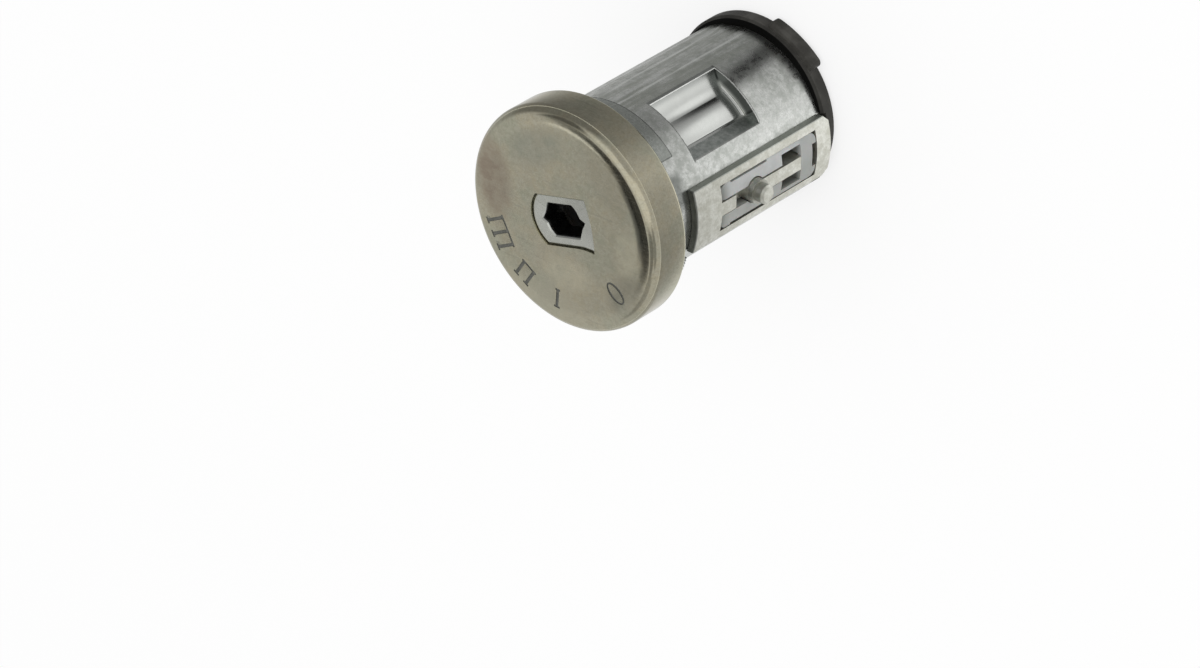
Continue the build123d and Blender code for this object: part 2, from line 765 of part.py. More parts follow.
os.makedirs("parts", exist_ok=True)
for name, shape in parts.items():
    export_step(shape, f"parts/{name}.step")
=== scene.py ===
"""Looks of an ignition lock cylinder, built round its packed construction.

The lock stands on its rear closure with its axis on Z, so a level is a height above that face.
Azimuths are measured anticlockwise from +X, seen from the marked face, in degrees.
All other sizes are in metres.
"""
from math import cos, pi, radians, sin

import bpy
from mathutils import Matrix, Vector


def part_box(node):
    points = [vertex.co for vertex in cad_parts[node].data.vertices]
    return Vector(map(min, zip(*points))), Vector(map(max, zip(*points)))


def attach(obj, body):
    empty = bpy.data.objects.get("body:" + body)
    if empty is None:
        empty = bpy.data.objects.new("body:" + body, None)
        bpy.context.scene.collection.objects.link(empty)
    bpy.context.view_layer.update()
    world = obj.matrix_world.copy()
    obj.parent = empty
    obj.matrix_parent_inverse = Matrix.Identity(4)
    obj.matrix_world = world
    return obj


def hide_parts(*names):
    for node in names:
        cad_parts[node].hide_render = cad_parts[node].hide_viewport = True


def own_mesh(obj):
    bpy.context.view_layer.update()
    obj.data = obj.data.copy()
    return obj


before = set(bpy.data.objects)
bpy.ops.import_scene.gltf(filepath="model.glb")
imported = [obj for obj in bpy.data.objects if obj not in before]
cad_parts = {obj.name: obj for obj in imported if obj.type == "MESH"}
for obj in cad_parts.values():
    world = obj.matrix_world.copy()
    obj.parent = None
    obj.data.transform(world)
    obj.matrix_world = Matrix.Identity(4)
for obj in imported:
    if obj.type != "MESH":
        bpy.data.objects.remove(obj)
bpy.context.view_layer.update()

# Housing: one pressure die casting in zinc alloy, left as cast and tumbled.
# Its skin is satin, clouded where the metal flowed along the barrel, with fine pits.


def add_node(tree, kind, inputs=None, **settings):
    """A shader node with its settings made and its inputs set or linked."""
    made = tree.nodes.new(kind)
    for name, value in settings.items():
        setattr(made, name, value)
    for name, value in (inputs or {}).items():
        if isinstance(value, bpy.types.NodeSocket):
            tree.links.new(value, made.inputs[name])
        else:
            made.inputs[name].default_value = value
    return made


def start_group(name, inputs, outputs):
    """An empty node group with named sockets."""
    group = bpy.data.node_groups.new(name, "ShaderNodeTree")
    for socket, kind, value in inputs:
        made = group.interface.new_socket(socket, in_out="INPUT", socket_type=kind)
        if value is not None:
            made.default_value = value
    for socket, kind in outputs:
        group.interface.new_socket(socket, in_out="OUTPUT", socket_type=kind)
    source = group.nodes.new("NodeGroupInput")
    sink = group.nodes.new("NodeGroupOutput")
    return group, source.outputs, sink.inputs


def place_group(tree, group, inputs):
    """A group placed in a material, with its inputs set or linked."""
    return add_node(tree, "ShaderNodeGroup", inputs, node_tree=group).outputs


def start_material(name, **constants):
    """A material with a Principled shader whose plain values are set on its own sockets."""
    material = bpy.data.materials.new(name)
    material.use_nodes = True
    tree = material.node_tree
    tree.nodes.clear()
    shader = tree.nodes.new("ShaderNodeBsdfPrincipled")
    for socket, value in constants.items():
        shader.inputs[socket.replace("_", " ")].default_value = value
    output = tree.nodes.new("ShaderNodeOutputMaterial")
    tree.links.new(shader.outputs["BSDF"], output.inputs["Surface"])
    place = tree.nodes.new("ShaderNodeTexCoord").outputs["Object"]
    return material, tree, shader, place


def blend_colours(tree, mask, first, second):
    """Colour that goes from the first to the second with a mask."""
    mix = add_node(tree, "ShaderNodeMix", data_type="RGBA")
    for socket, value in ((mix.inputs[0], mask), (mix.inputs[6], first), (mix.inputs[7], second)):
        if isinstance(value, bpy.types.NodeSocket):
            tree.links.new(value, socket)
        else:
            socket.default_value = value
    return mix.outputs[2]


def blend_values(tree, mask, first, second):
    """Value that goes from the first to the second with a mask."""
    return add_node(
        tree, "ShaderNodeMix", {0: mask, 2: first, 3: second}, data_type="FLOAT"
    ).outputs[0]


def spread(tree, value, low, high):
    """A 0 to 1 mask carried to another range."""
    return add_node(
        tree, "ShaderNodeMapRange", {"Value": value, "To Min": low, "To Max": high}
    ).outputs["Result"]


def multiply(tree, first, second):
    """Product of two masks."""
    return add_node(tree, "ShaderNodeMath", {0: first, 1: second}, operation="MULTIPLY").outputs[0]


def tint(tree, tone, mask, share, colour):
    """The tone so far, with a share of another colour where the mask is."""
    return blend_colours(tree, multiply(tree, mask, share), tone, colour)


def bump(tree, height, depth, under=None):
    """Normal over a height mask of that depth, on top of another normal."""
    inputs = {"Height": height, "Strength": 1.0, "Distance": depth}
    if under is not None:
        inputs["Normal"] = under
    return add_node(tree, "ShaderNodeBump", inputs).outputs["Normal"]


def clothe(names, material):
    """Give CAD nodes a material."""
    for name in names:
        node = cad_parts[name]
        node.data.materials.clear()
        node.data.materials.append(material)


# Clouds are soft blotches, sharper as their low and high ends come nearer.
clouds, given, out = start_group(
    "clouds",
    [
        ("Vector", "NodeSocketVector", None),
        ("Scale", "NodeSocketFloat", 600.0),
        ("Low", "NodeSocketFloat", 0.4),
        ("High", "NodeSocketFloat", 0.6),
        ("Detail", "NodeSocketFloat", 4.0),
    ],
    [("Mask", "NodeSocketFloat")],
)
noise = add_node(
    clouds, "ShaderNodeTexNoise",
    {
        "Vector": given["Vector"], "Scale": given["Scale"],
        "Detail": given["Detail"], "Roughness": 0.6,
    },
)
edge = add_node(
    clouds, "ShaderNodeMapRange",
    {"Value": noise.outputs["Fac"], "From Min": given["Low"], "From Max": given["High"]},
    interpolation_type="SMOOTHSTEP",
)
clouds.links.new(edge.outputs["Result"], out["Mask"])


def cloud_mask(tree, place, scale, low, high, detail=4.0):
    """Soft clouds of a scale."""
    return place_group(tree, clouds, {
        "Vector": place, "Scale": scale, "Low": low, "High": high, "Detail": detail,
    })["Mask"]


# Streaks are clouds drawn out along one direction by a Mapping node.
streaks, given, out = start_group(
    "streaks",
    [
        ("Vector", "NodeSocketVector", None),
        ("Turn", "NodeSocketVector", None),
        ("Stretch", "NodeSocketVector", (1.0, 1.0, 1.0)),
        ("Scale", "NodeSocketFloat", 1000.0),
        ("Low", "NodeSocketFloat", 0.4),
        ("High", "NodeSocketFloat", 0.6),
    ],
    [("Mask", "NodeSocketFloat")],
)
along = add_node(
    streaks, "ShaderNodeMapping",
    {"Vector": given["Vector"], "Rotation": given["Turn"], "Scale": given["Stretch"]},
)
noise = add_node(
    streaks, "ShaderNodeTexNoise",
    {"Vector": along.outputs["Vector"], "Scale": given["Scale"], "Detail": 3.0, "Roughness": 0.6},
)
edge = add_node(
    streaks, "ShaderNodeMapRange",
    {"Value": noise.outputs["Fac"], "From Min": given["Low"], "From Max": given["High"]},
    interpolation_type="SMOOTHSTEP",
)
streaks.links.new(edge.outputs["Result"], out["Mask"])


def streak_mask(tree, place, stretch, scale, low, high, turn_by=0):
    """Clouds of a scale, drawn out where their stretch is below 1."""
    return place_group(tree, streaks, {
        "Vector": place, "Turn": (0, 0, radians(turn_by)), "Stretch": stretch,
        "Scale": scale, "Low": low, "High": high,
    })["Mask"]


# A zone is 1 within a half width of a centre and fades out beyond it.
zone, given, out = start_group(
    "zone",
    [
        ("Value", "NodeSocketFloat", None),
        ("Centre", "NodeSocketFloat", 0.0),
        ("Half", "NodeSocketFloat", 0.001),
        ("Fade", "NodeSocketFloat", 0.001),
    ],
    [("Mask", "NodeSocketFloat")],
)
apart = add_node(
    zone, "ShaderNodeMath", {0: given["Value"], 1: given["Centre"]}, operation="SUBTRACT"
)
apart = add_node(zone, "ShaderNodeMath", {0: apart.outputs[0]}, operation="ABSOLUTE")
beyond = add_node(
    zone, "ShaderNodeMath", {0: apart.outputs[0], 1: given["Half"]}, operation="SUBTRACT"
)
edge = add_node(
    zone, "ShaderNodeMapRange",
    {"Value": beyond.outputs[0], "From Max": given["Fade"], "To Min": 1.0, "To Max": 0.0},
    interpolation_type="SMOOTHSTEP",
)
zone.links.new(edge.outputs["Result"], out["Mask"])

# Places round the lock's axis: azimuth in degrees, radius and level.
axis_place, given, out = start_group(
    "axis_place",
    [("Vector", "NodeSocketVector", None)],
    [("Azimuth", "NodeSocketFloat"), ("Radius", "NodeSocketFloat"), ("Level", "NodeSocketFloat")],
)
axes = add_node(axis_place, "ShaderNodeSeparateXYZ", {"Vector": given["Vector"]})
angle = add_node(
    axis_place, "ShaderNodeMath",
    {0: axes.outputs["Y"], 1: axes.outputs["X"]}, operation="ARCTAN2",
)
angle = multiply(axis_place, angle.outputs[0], 180 / pi)
flat = add_node(
    axis_place, "ShaderNodeCombineXYZ", {"X": axes.outputs["X"], "Y": axes.outputs["Y"]}
)
reach = add_node(axis_place, "ShaderNodeVectorMath", {0: flat.outputs[0]}, operation="LENGTH")
axis_place.links.new(angle, out["Azimuth"])
axis_place.links.new(reach.outputs["Value"], out["Radius"])
axis_place.links.new(axes.outputs["Z"], out["Level"])


def within(tree, value, span):
    """Mask that is 1 near a value."""
    centre, half, fade = span
    return place_group(
        tree, zone, {"Value": value, "Centre": centre, "Half": half, "Fade": fade}
    )["Mask"]


def region(tree, at, **spans):
    """Mask that is 1 within all of the given spans of azimuth, radius and level."""
    made = None
    for name, span in spans.items():
        mask = within(tree, at[name.capitalize()], span)
        made = mask if made is None else multiply(tree, made, mask)
    return made


# Colours of the housing, and places on it as spans: centre, half width and width of the fade.
face_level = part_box("face_cap")[1].z

cast_dark = (0.51, 0.53, 0.495, 1)
cast_pale = (0.71, 0.725, 0.695, 1)
bloom_pale = (0.80, 0.81, 0.785, 1)
grain_dark = (0.38, 0.395, 0.365, 1)

flank_azimuths = (106.0, 22.0, 14.0)
flank_dull = (0.40, 0.42, 0.37, 1)
drag_lines = ((89.0, 0.4, 0.8), (106.0, 0.7, 0.8), (118.0, 0.4, 0.8))
drag_pale = (0.92, 0.94, 0.90, 1)

corner_azimuths = (22.0, 7.0, 6.0)
corner_levels = (face_level - 0.0095, 0.0010, 0.0022)
cap_shadow_dark = (0.20, 0.21, 0.195, 1)

collar_foot = face_level - 0.0119
collar_half = 0.006
collar_levels = (collar_foot + collar_half, collar_half, 0.00012)
collar_end = 42.0
collar_azimuths = (collar_end + 60.0, 60.0, 0.5)
step_levels = (collar_foot, 0.00005, 0.00013)
end_levels = (collar_foot + collar_half, collar_half, 0.0001)
end_azimuths = (collar_end, 0.15, 0.5)
collar_height = 0.00007
collar_dark = (0.37, 0.39, 0.36, 1)
step_shadow_dark = (0.06, 0.065, 0.06, 1)
end_shadow_dark = (0.10, 0.105, 0.10, 1)

inside_radii = (0.0, 0.01425, 0.0001)
inside_levels = (0.0, 0.036, 0.001)
rail_flat_azimuths = (-18.0, 50.0, 1.0)
rail_flat_radii = (0.0145, 0.0022, 0.0001)
clean_metal = (0.74, 0.755, 0.725, 1)

pocket_azimuths = (56.0, 22.0, 1.0)
pocket_levels = (face_level - 0.02305, 0.00755, 0.0001)
rear_wall_levels = (face_level - 0.0304, 0.00006, 0.0003)
rear_wall_radii = (0.0138, 0.0005, 0.0010)
rear_wall_shade = (0.08, 0.09, 0.085, 1)
upper_azimuths = (80.0, 3.5, 4.0)
upper_radii = (0.0144, 0.0004, 0.0012)
upper_rim_shade = (0.22, 0.23, 0.22, 1)
low_side_azimuths = (36.0, 4.5, 0.6)
low_side_dark = (0.38, 0.415, 0.39, 1)
low_side_pale = (0.62, 0.65, 0.625, 1)
low_side_grain = (0.30, 0.325, 0.30, 1)
front_edge_azimuths = (53.0, 20.0, 2.0)
front_edge_levels = (face_level - 0.0156, 0.00008, 0.00010)
front_edge_shadow_dark = (0.07, 0.075, 0.07, 1)
rim_radii = (0.01441, 0.00005, 0.00003)
rim_painted_highlight = (0.96, 0.97, 0.94, 1)

nose_radii = (0.0, 0.0090, 0.0002)
nose_levels = (face_level + 0.0003, 0.0006, 0.0002)
nose_ground = (0.78, 0.79, 0.715, 1)
nose_side_azimuths = (35.0, 30.0, 35.0)
nose_side_shade = (0.46, 0.46, 0.42, 1)
keyway_radii = (0.0, 0.0050, 0.0002)
keyway_levels = (face_level - 0.0066, 0.0056, 0.0003)
keyway_shade_dark = (0.03, 0.03, 0.027, 1)

pit_depth = 0.0000028

zinc, tree, shader, place = start_material("cast_zinc", Metallic=1.0)
at = place_group(tree, axis_place, {"Vector": place})
flow = streak_mask(tree, place, (1.0, 1.0, 0.09), 800.0, 0.40, 0.60)
bloom = cloud_mask(tree, place, 1000.0, 0.38, 0.62)
haze = cloud_mask(tree, place, 260.0, 0.38, 0.64)
grain = cloud_mask(tree, place, 3000.0, 0.30, 0.70)
tone = blend_colours(tree, haze, cast_dark, cast_pale)
tone = tint(tree, tone, bloom, 0.6, bloom_pale)
tone = tint(tree, tone, grain, 0.42, grain_dark)

# The flank away from the latch has a darker skin with pale drag lines from the die.
flank = region(tree, at, azimuth=flank_azimuths)
tone = tint(tree, tone, flank, spread(tree, flow, 0.70, 0.0), flank_dull)
for line in drag_lines:
    drag = region(tree, at, azimuth=line)
    tone = tint(tree, tone, drag, multiply(tree, flow, 0.75), drag_pale)

# Painted shadow: the skin is darkened behind the cap, where the rail begins.
corner = region(tree, at, azimuth=corner_azimuths, level=corner_levels)
tone = tint(tree, tone, corner, 0.75, cap_shadow_dark)

# Behind the cap a raised collar was left rough; painted shadow lines run along its step and end.
collar = region(tree, at, level=collar_levels, azimuth=collar_azimuths)
step_line = region(tree, at, level=step_levels, azimuth=collar_azimuths)
end_line = region(tree, at, level=end_levels, azimuth=end_azimuths)
tone = tint(tree, tone, collar, spread(tree, grain, 0.6, 1.0), collar_dark)
tone = tint(tree, tone, step_line, 0.9, step_shadow_dark)
tone = tint(tree, tone, end_line, 0.6, end_shadow_dark)

# Faces formed by cores or bored are clean and smooth. The flat under the rail lies as deep,
# but kept the outer skin.
inside = region(tree, at, radius=inside_radii, level=inside_levels)
rail_flat = region(tree, at, azimuth=rail_flat_azimuths, radius=rail_flat_radii)
inside = multiply(tree, inside, spread(tree, rail_flat, 1.0, 0.0))
tone = tint(tree, tone, inside, 0.85, clean_metal)

# The assembly pocket has painted shade on its rear wall and under its upper rim. Its low side kept
# the cast skin, a painted shadow lies along its front edge, and its rim carries a painted
# highlight.
pocket = region(tree, at, azimuth=pocket_azimuths, level=pocket_levels)
rear_wall = region(tree, at, level=rear_wall_levels, radius=rear_wall_radii)
tone = tint(tree, tone, multiply(tree, rear_wall, pocket), 0.9, rear_wall_shade)
upper = region(tree, at, radius=upper_radii, azimuth=upper_azimuths)
tone = tint(tree, tone, multiply(tree, upper, pocket), 0.7, upper_rim_shade)
low_side = multiply(tree, region(tree, at, azimuth=low_side_azimuths), pocket)
low_tone = blend_colours(tree, bloom, low_side_dark, low_side_pale)
low_tone = tint(tree, low_tone, grain, 0.5, low_side_grain)
tone = tint(tree, tone, low_side, 0.9, low_tone)
front_edge = region(tree, at, level=front_edge_levels, azimuth=front_edge_azimuths)
tone = tint(tree, tone, front_edge, 0.75, front_edge_shadow_dark)
rim = multiply(tree, region(tree, at, radius=rim_radii), pocket)
tone = tint(tree, tone, rim, 0.9, rim_painted_highlight)

# The nose is ground clean. The keyway behind its face is painted near black, as shade.
nose = region(tree, at, radius=nose_radii, level=nose_levels)
tone = tint(tree, tone, nose, 0.75, nose_ground)
# Painted shade darkens one side of the nose.
nose_side = multiply(tree, nose, region(tree, at, azimuth=nose_side_azimuths))
tone = tint(tree, tone, nose_side, 0.35, nose_side_shade)
keyway = region(tree, at, radius=keyway_radii, level=keyway_levels)
tone = tint(tree, tone, keyway, 0.9, keyway_shade_dark)
tree.links.new(tone, shader.inputs["Base Color"])

rough = spread(tree, bloom, 0.36, 0.26)
rough = blend_values(tree, inside, rough, 0.16)
rough = blend_values(tree, low_side, rough, 0.34)
tree.links.new(rough, shader.inputs["Roughness"])
pits = cloud_mask(tree, place, 1500.0, 0.2, 0.8, detail=1.0)
skin = multiply(tree, spread(tree, inside, 1.0, 0.2), spread(tree, collar, 1.0, 2.0))
raised = bump(tree, collar, collar_height)
pitted = bump(tree, multiply(tree, pits, skin), pit_depth, raised)
tree.links.new(pitted, shader.inputs["Normal"])
clothe(["housing"], zinc)

# Assembly pocket's far side: part of the same casting, a hollow curve from floor to rim.
# It fills the corner that the construction leaves square.
slope_foot = face_level - 0.0304
slope_top = face_level - 0.0157
slope_middle = (slope_foot + slope_top) / 2
slope_length = slope_top - slope_foot + 0.0004
slope_depth = 0.0037
slope_width = 0.0041
slope_radius = 0.01315
pocket_floor = 0.01212
curve_foot = 61.0
curve_radius = 0.00488
barrel_skin = 0.01442


def deselect():
    """Leave nothing selected."""
    bpy.ops.object.select_all(action="DESELECT")


def keep_selected(piece):
    """Select this object alone and make it active."""
    deselect()
    piece.select_set(True)
    bpy.context.view_layer.objects.active = piece


def apply_boolean(piece, cutter, operation):
    """Join, cut or intersect a piece with a cutter, and remove the cutter."""
    keep_selected(piece)
    modifier = piece.modifiers.new("cut", "BOOLEAN")
    modifier.operation = operation
    modifier.solver = "EXACT"
    modifier.object = cutter
    modifier.material_mode = "TRANSFER"
    bpy.ops.object.modifier_apply(modifier="cut")
    bpy.data.objects.remove(cutter)


def add_drum(radius, place):
    """Round cutter along Z, a little longer than the pocket."""
    deselect()
    bpy.ops.mesh.primitive_cylinder_add(
        vertices=180, radius=radius, depth=slope_length + 0.001, location=place
    )
    bpy.ops.object.transform_apply(location=True, rotation=True, scale=True)
    return bpy.context.object


foot_turn = Matrix.Rotation(radians(curve_foot), 4, "Z")
deselect()
bpy.ops.mesh.primitive_cube_add(size=1.0)
slope = bpy.context.object
slope.name = "pocket_slope"
slope.data.transform(Matrix.Diagonal((slope_depth, slope_width, slope_length, 1)))
slope.data.transform(
    foot_turn @ Matrix.Translation((slope_radius, slope_width / 2, slope_middle))
)
apply_boolean(slope, add_drum(barrel_skin, (0, 0, slope_middle)), "INTERSECT")
curve_centre = foot_turn @ Vector((pocket_floor + curve_radius, 0, slope_middle))
apply_boolean(slope, add_drum(curve_radius, curve_centre), "DIFFERENCE")
slope.data.materials.clear()
slope.data.materials.append(zinc)
keep_selected(slope)
bpy.ops.object.shade_smooth_by_angle(angle=radians(30))
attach(slope, "casing")

# Rotor: turned from the same zinc, and run in the housing's bore.
# Its skin is finer, with the tool's rings round the axis.
turned_dark = (0.50, 0.50, 0.49, 1)
turned_pale = (0.60, 0.60, 0.59, 1)
turned, tree, shader, place = start_material("turned_zinc", Metallic=1.0)
rings = streak_mask(tree, place, (0.05, 0.05, 1.0), 6000.0, 0.3, 0.7)
tree.links.new(blend_colours(tree, rings, turned_dark, turned_pale), shader.inputs["Base Color"])
tree.links.new(spread(tree, rings, 0.26, 0.38), shader.inputs["Roughness"])
clothe(["rotor"], turned)

# Tumbler discs: punched from brass strip, with a soft polish from the punch and from use.
# They turn freely between the spacer plates.
brass_bright = (0.76, 0.56, 0.27, 1)
brass_tarnished = (0.60, 0.42, 0.20, 1)
brass, tree, shader, place = start_material("disc_brass", Metallic=1.0)
tarnish = cloud_mask(tree, place, 420.0, 0.35, 0.7)
tone = blend_colours(tree, tarnish, brass_bright, brass_tarnished)
tree.links.new(tone, shader.inputs["Base Color"])
tree.links.new(spread(tree, tarnish, 0.24, 0.40), shader.inputs["Roughness"])
clothe([f"tumbler_disc_{n}" for n in range(1, 7)], brass)

# Plates, side bar, drive coupling, clip and springs: plain steel, stamped, drawn or wound.
# They are lightly oiled and keep their mill finish.
steel_bare = (0.45, 0.44, 0.42, 1)
steel_oiled = (0.36, 0.34, 0.31, 1)
steel, tree, shader, place = start_material("plain_steel", Metallic=1.0)
film = cloud_mask(tree, place, 350.0, 0.35, 0.7)
fine = cloud_mask(tree, place, 5000.0, 0.3, 0.7)
tree.links.new(blend_colours(tree, film, steel_bare, steel_oiled), shader.inputs["Base Color"])
tree.links.new(spread(tree, fine, 0.26, 0.42), shader.inputs["Roughness"])
clothe(
    [
        "rear_guide_plate", "side_bar", "side_bar_spring_front", "side_bar_spring_rear",
        "drive_coupling", "retaining_clip", "latch_spring",
    ]
    + [f"spacer_plate_{n}" for n in range(1, 6)],
    steel,
)

# Rear closure: a ring moulded in black nylon, pressed onto the barrel's end.
# It has a fine moulded texture, a little paler where it has been handled.
# The front of its rim, beside the barrel, is painted deep black as shade.
nylon_dark = (0.052, 0.050, 0.045, 1)
nylon_handled = (0.088, 0.085, 0.077, 1)
nylon_front_shade = (0.0015, 0.0015, 0.0013, 1)
rim_front_levels = (0.0027, 0.0003, 0.0001)
facing_forward = (1.0, 0.15, 0.25)
stipple_depth = 0.000006
nylon, tree, shader, place = start_material("black_nylon", Specular_IOR_Level=0.12)
handled = cloud_mask(tree, place, 300.0, 0.4, 0.7)
stipple = cloud_mask(tree, place, 5200.0, 0.3, 0.7)
tone = blend_colours(tree, handled, nylon_dark, nylon_handled)
facing = tree.nodes.new("ShaderNodeTexCoord").outputs["Normal"]
forward = add_node(tree, "ShaderNodeSeparateXYZ", {"Vector": facing}).outputs["Z"]
at = place_group(tree, axis_place, {"Vector": place})
front = multiply(
    tree, within(tree, forward, facing_forward), region(tree, at, level=rim_front_levels)
)
tree.links.new(blend_colours(tree, front, tone, nylon_front_shade), shader.inputs["Base Color"])
tree.links.new(spread(tree, front, 0.42, 0.62), shader.inputs["Roughness"])
tree.links.new(bump(tree, stipple, stipple_depth), shader.inputs["Normal"])
clothe(["rear_closure"], nylon)

# Side rail and latch pin: pressed steel and a turned pin, both dull plated.
# The plating is warm grey and matt, rubbed brighter in patches.
rail_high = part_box("side_rail")[1]
pin_low, pin_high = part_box("latch_pin")
plating_dull = (0.60, 0.60, 0.53, 1)
plating_rubbed = (0.77, 0.775, 0.715, 1)
plating_grain = (0.44, 0.435, 0.37, 1)
rail_wall_shade = (0.31, 0.34, 0.31, 1)
rail_front_shade = (0.10, 0.105, 0.095, 1)
shank_shade = (0.30, 0.30, 0.265, 1)
grain_depth = 0.000008
pin_tip = 0.0006
plated, tree, shader, place = start_material("dull_plating", Metallic=1.0)
rubbed = cloud_mask(tree, place, 700.0, 0.35, 0.68)
grain = cloud_mask(tree, place, 3200.0, 0.3, 0.7)
axes = add_node(tree, "ShaderNodeSeparateXYZ", {"Vector": place}).outputs
tone = blend_colours(tree, rubbed, plating_dull, plating_rubbed)
tone = tint(tree, tone, grain, 0.3, plating_grain)

# Painted shade: the rail's pressed walls are darker than its rubbed top.
wall = within(tree, axes["Y"], (rail_high.y, 0.0001, 0.0001))
tone = tint(tree, tone, wall, 0.65, rail_wall_shade)
# Painted shade: the rail's front end, facing the cap, is dark.
front = within(tree, axes["Z"], (rail_high.z, 0.0002, 0.0002))
tone = tint(tree, tone, front, 0.85, rail_front_shade)

# Painted shade: the pin's shank is dark behind its rubbed end.
pin_middle = (pin_low.z + pin_high.z) / 2
pin_reach = (pin_high.z - pin_low.z) / 2
shank = multiply(
    tree,
    within(tree, axes["X"], (0.0, pin_high.x - pin_tip, 0.0003)),
    multiply(
        tree,
        within(tree, axes["Z"], (pin_middle, pin_reach, 0.0001)),
        within(tree, axes["X"], (pin_high.x, pin_high.x - rail_high.x - 0.0001, 0.0001)),
    ),
)
tone = tint(tree, tone, shank, 0.55, shank_shade)
tree.links.new(tone, shader.inputs["Base Color"])
tree.links.new(spread(tree, grain, 0.38, 0.52), shader.inputs["Roughness"])
tree.links.new(bump(tree, grain, grain_depth), shader.inputs["Normal"])
clothe(["side_rail", "latch_pin"], plated)

# Latch cradle: moulded in white acetal, which lets a little light in.
# Its skin is satin, with faint flow clouds. It carries painted shade towards its ends,
# its lower side and its floor.
cradle_low, cradle_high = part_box("latch_cradle")
acetal_grey = (0.56, 0.575, 0.565, 1)
acetal_white = (0.645, 0.655, 0.65, 1)
cradle_front_shade = (0.22, 0.225, 0.20, 1)
cradle_low_shade = (0.32, 0.335, 0.30, 1)
cradle_rear_shade = (0.38, 0.40, 0.375, 1)
cradle_deep_shade = (0.16, 0.165, 0.15, 1)
acetal, tree, shader, place = start_material(
    "white_acetal", Subsurface_Weight=0.12, Subsurface_Scale=0.0006
)
flow_clouds = cloud_mask(tree, place, 380.0, 0.35, 0.7)
satin = cloud_mask(tree, place, 3800.0, 0.3, 0.7)
axes = add_node(tree, "ShaderNodeSeparateXYZ", {"Vector": place}).outputs
tone = blend_colours(tree, flow_clouds, acetal_grey, acetal_white)
front = within(tree, axes["Z"], (cradle_high.z, 0.0003, 0.0022))
low = within(tree, axes["Y"], (cradle_low.y, 0.0022, 0.0028))
rear = within(tree, axes["Z"], (cradle_low.z, 0.0030, 0.0012))
deep = within(tree, axes["X"], (0.0, cradle_high.x - 0.0012, 0.0009))
tone = tint(tree, tone, front, 0.75, cradle_front_shade)
tone = tint(tree, tone, low, 0.65, cradle_low_shade)
tone = tint(tree, tone, rear, 0.55, cradle_rear_shade)
tone = tint(tree, tone, deep, 0.8, cradle_deep_shade)
tree.links.new(tone, shader.inputs["Base Color"])
tree.links.new(spread(tree, satin, 0.34, 0.44), shader.inputs["Roughness"])
clothe(["latch_cradle"], acetal)


def merged_copy(name, new_name, material):
    """Closed copy of a CAD node, with its flat faces whole."""
    keep_selected(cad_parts[name])
    bpy.ops.object.duplicate()
    made = bpy.context.object
    made.name = new_name
    made.parent = None
    made.matrix_world = Matrix.Identity(4)
    made.data.materials.clear()
    made.data.materials.append(material)
    bpy.ops.object.mode_set(mode="EDIT")
    bpy.ops.mesh.select_all(action="SELECT")
    bpy.ops.mesh.remove_doubles(threshold=0.000001)
    bpy.ops.mesh.dissolve_limited(angle_limit=radians(0.2))
    bpy.ops.object.mode_set(mode="OBJECT")
    return made


spring = merged_copy("latch_spring", "pressed_spring", steel)
keep_selected(spring)
bpy.ops.object.shade_smooth_by_angle(angle=radians(40))
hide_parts("latch_spring")
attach(spring, "casing")
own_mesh(spring)

# Face cap: drawn from stainless sheet and crimped behind the housing's flange.
# It is brushed, stained in patches, and engraved with the switch positions 0, I, II and III.
mark_depth = 0.00008
stem_width = 0.00054
serif_width = 0.00034
serif_length = 0.0011
serif_past_stems = 0.0009
one_mark = {"azimuth": -94.4, "radius": 0.01342, "stem": 0.00296, "pitch": 0.0, "count": 1}
two_mark = {"azimuth": -122.7, "radius": 0.01357, "stem": 0.0030, "pitch": 0.00217, "count": 2}
three_mark = {"azimuth": -152.3, "radius": 0.01365, "stem": 0.0033, "pitch": 0.00215, "count": 3}
zero_azimuth = -38.6
zero_radius = 0.01314
zero_size = (0.0039, 0.00235)
zero_line = (0.00027, 0.00045)
groove_dark = (0.19, 0.195, 0.175, 1)
groove_pale = (0.31, 0.31, 0.28, 1)

steel_green = (0.495, 0.50, 0.375, 1)
steel_brown = (0.60, 0.545, 0.39, 1)
mottle_warm = (0.55, 0.52, 0.405, 1)
grain_brown = (0.34, 0.32, 0.25, 1)
weave_pale = (0.67, 0.65, 0.525, 1)
scratch_dark = (0.26, 0.26, 0.22, 1)
brush_pale = (0.78, 0.75, 0.60, 1)
roll_dark_reflection = (0.11, 0.11, 0.09, 1)
# Each patch has its centre, half sizes, turn, share and colour.
face_patches = (
    ((-0.0134, 0.0026), (0.0085, 0.0046), 100, 0.90, (0.36, 0.29, 0.225, 1)),
    ((-0.0030, -0.0150), (0.0120, 0.0050), -10, 0.55, (0.62, 0.585, 0.455, 1)),
    ((0.0120, -0.0080), (0.0060, 0.0035), 60, 0.60, (0.30, 0.29, 0.235, 1)),
    ((0.0010, -0.0085), (0.0065, 0.0035), 10, 0.60, (0.74, 0.69, 0.52, 1)),
    ((0.0125, -0.0005), (0.0060, 0.0030), 85, 0.50, (0.74, 0.71, 0.54, 1)),
    ((-0.0050, 0.0105), (0.0075, 0.0040), 30, 0.45, (0.36, 0.37, 0.31, 1)),
    ((0.0080, 0.0095), (0.0080, 0.0035), -50, 0.40, (0.40, 0.385, 0.30, 1)),
)
roll_radii = (0.0151, 0.0002, 0.0007)
roll_azimuths = (20.0, 13.0, 16.0)
roll_levels = (face_level, 0.0004, 0.0004)
dull_face_radii = (0.0, 0.0140, 0.0015)
brush_depth = 0.0000022

etched, tree, shader, place = start_material("etched_groove", Metallic=1.0, Roughness=0.5)
dirt = cloud_mask(tree, place, 2500.0, 0.3, 0.7)
tree.links.new(blend_colours(tree, dirt, groove_dark, groove_pale), shader.inputs["Base Color"])


